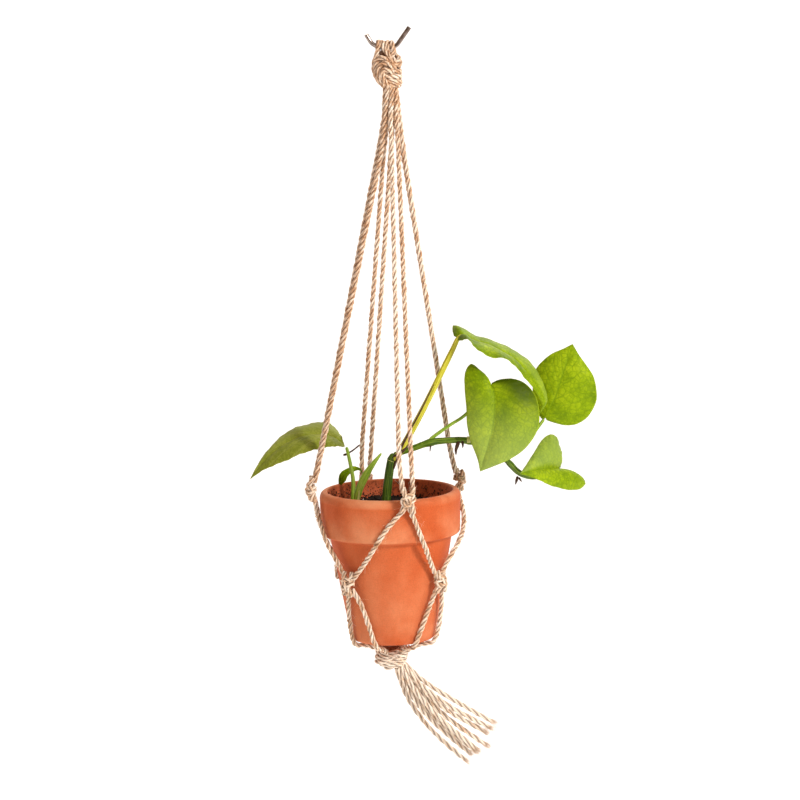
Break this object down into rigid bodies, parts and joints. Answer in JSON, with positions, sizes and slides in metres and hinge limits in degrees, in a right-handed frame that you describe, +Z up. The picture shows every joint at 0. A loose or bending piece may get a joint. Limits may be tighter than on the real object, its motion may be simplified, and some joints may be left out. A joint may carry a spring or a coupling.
{
  "type": "hanging macrame planter",
  "caption": "Knotted jute plant hanger on a wire hook, holding a terracotta pot with a trailing pothos plant, with a frayed tassel below.",
  "frame": {"origin": "the free end of the hook's shank, on the wire's centre line", "axes": "+Z up along the hanging line, +X to the right of a viewer facing the planter, from the side where the trailing leaves hang, +Y away from the viewer"},
  "size_m": [0.3153, 0.1495, 0.6794],
  "materials": {
    "steel": "polished wire",
    "jute": "twisted natural fibre",
    "terracotta": "matte fired clay",
    "soil": "crumbly, dark",
    "stem": "satin",
    "leaf": "waxy"
  },
  "bodies": {
    "hook": {"hook": "steel"},
    "head": {"loop_cords": "jute", "top_knot": "jute"},
    "neck": {"neck_cords": "jute"},
    "cradle": {"base_cord_back_left_a": "jute", "base_cord_back_left_b": "jute", "base_cord_back_right_a": "jute", "base_cord_back_right_b": "jute", "base_cord_front_left_a": "jute", "base_cord_front_left_b": "jute", "base_cord_front_right_a": "jute", "base_cord_front_right_b": "jute", "net_cord_back_left": "jute", "net_cord_back_right": "jute", "net_cord_front_left": "jute", "net_cord_front_right": "jute", "net_cord_left_back": "jute", "net_cord_left_front": "jute", "net_cord_right_back": "jute", "net_cord_right_front": "jute", "upper_cord_back_a": "jute", "upper_cord_back_b": "jute", "upper_cord_front_a": "jute", "upper_cord_front_b": "jute", "upper_cord_left_a": "jute", "upper_cord_left_b": "jute", "upper_cord_right_a": "jute", "upper_cord_right_b": "jute", "rim_knot_back": "jute", "rim_knot_front": "jute", "rim_knot_left": "jute", "rim_knot_right": "jute", "lower_knot_back_left": "jute", "lower_knot_back_right": "jute", "lower_knot_front_left": "jute", "lower_knot_front_right": "jute", "bottom_knot": "jute"},
    "tassel": {"tassel_strand_1": "jute", "tassel_strand_2": "jute", "tassel_strand_3": "jute", "tassel_strand_4": "jute", "tassel_strand_5": "jute", "tassel_strand_6": "jute", "tassel_strand_7": "jute", "tassel_strand_8": "jute"},
    "pot": {"pot": "terracotta", "soil": "soil", "main_stem": "stem", "trailing_vine": "stem", "petiole_top": "stem", "petiole_left": "stem", "petiole_centre": "stem", "petiole_right": "stem", "young_shoot": "stem", "small_leaf": "leaf"},
    "leaf_left": {"leaf_left": "leaf"},
    "leaf_top": {"leaf_top": "leaf"},
    "leaf_right": {"leaf_right": "leaf"},
    "leaf_centre": {"leaf_centre": "leaf"},
    "leaf_lower": {"leaf_lower": "leaf"}
  },
  "joints": [
    {"name": "planter_swing", "type": "hinge", "parent": "hook", "child": "head", "pos_m": [-0.01924, 0, -0.0173], "axis": [1, 0, 0], "range_deg": [-25, 25]},
    {"name": "planter_turn", "type": "hinge", "parent": "head", "child": "neck", "pos_m": [-0.01674, 0, -0.0535], "axis": [0, 0, 1], "range_deg": [-90, 90]},
    {"name": "planter_sway", "type": "hinge", "parent": "neck", "child": "cradle", "pos_m": [-0.01564, 0, -0.0823], "axis": [0, 1, 0], "range_deg": [-15, 15]},
    {"name": "tassel_sway", "type": "hinge", "parent": "cradle", "child": "tassel", "pos_m": [-0.01024, 0, -0.5853], "axis": [0, 1, 0], "range_deg": [-15, 34], "stiffness_Nm_per_rad": 0.05, "springref_deg": -1.04},
    {"name": "pot_lift", "type": "slide", "parent": "cradle", "child": "pot", "axis": [-0.0209, 0, 0.9998], "range_m": [0, 0.01]},
    {"name": "left_leaf_tilt", "type": "hinge", "parent": "pot", "child": "leaf_left", "pos_m": [-0.06024, 0.024, -0.3833], "axis": [-0.1158, 0.9069, 0.4052], "range_deg": [-12, 12], "stiffness_Nm_per_rad": 0.05, "springref_deg": 1.51},
    {"name": "top_leaf_tilt", "type": "hinge", "parent": "pot", "child": "leaf_top", "pos_m": [0.04376, -0.014, -0.2828], "axis": [0.0375, 0.9949, 0.0939], "range_deg": [-12, 2], "stiffness_Nm_per_rad": 0.05, "springref_deg": -2.01},
    {"name": "right_leaf_tilt", "type": "hinge", "parent": "pot", "child": "leaf_right", "pos_m": [0.12576, 0.012, -0.3558], "axis": [0.9905, -0.1261, 0.054], "range_deg": [-12, 12], "stiffness_Nm_per_rad": 0.05, "springref_deg": 0.23},
    {"name": "centre_leaf_tilt", "type": "hinge", "parent": "pot", "child": "leaf_centre", "pos_m": [0.07176, -0.02, -0.3213], "axis": [0.9751, -0.0873, -0.2038], "range_deg": [-12, 12], "stiffness_Nm_per_rad": 0.05, "springref_deg": -0.19},
    {"name": "lower_leaf_tilt", "type": "hinge", "parent": "pot", "child": "leaf_lower", "pos_m": [0.13876, 0.009, -0.4043], "axis": [0.1952, 0.0976, -0.9759], "range_deg": [-12, 12], "stiffness_Nm_per_rad": 0.05, "springref_deg": -0.03}
  ]
}
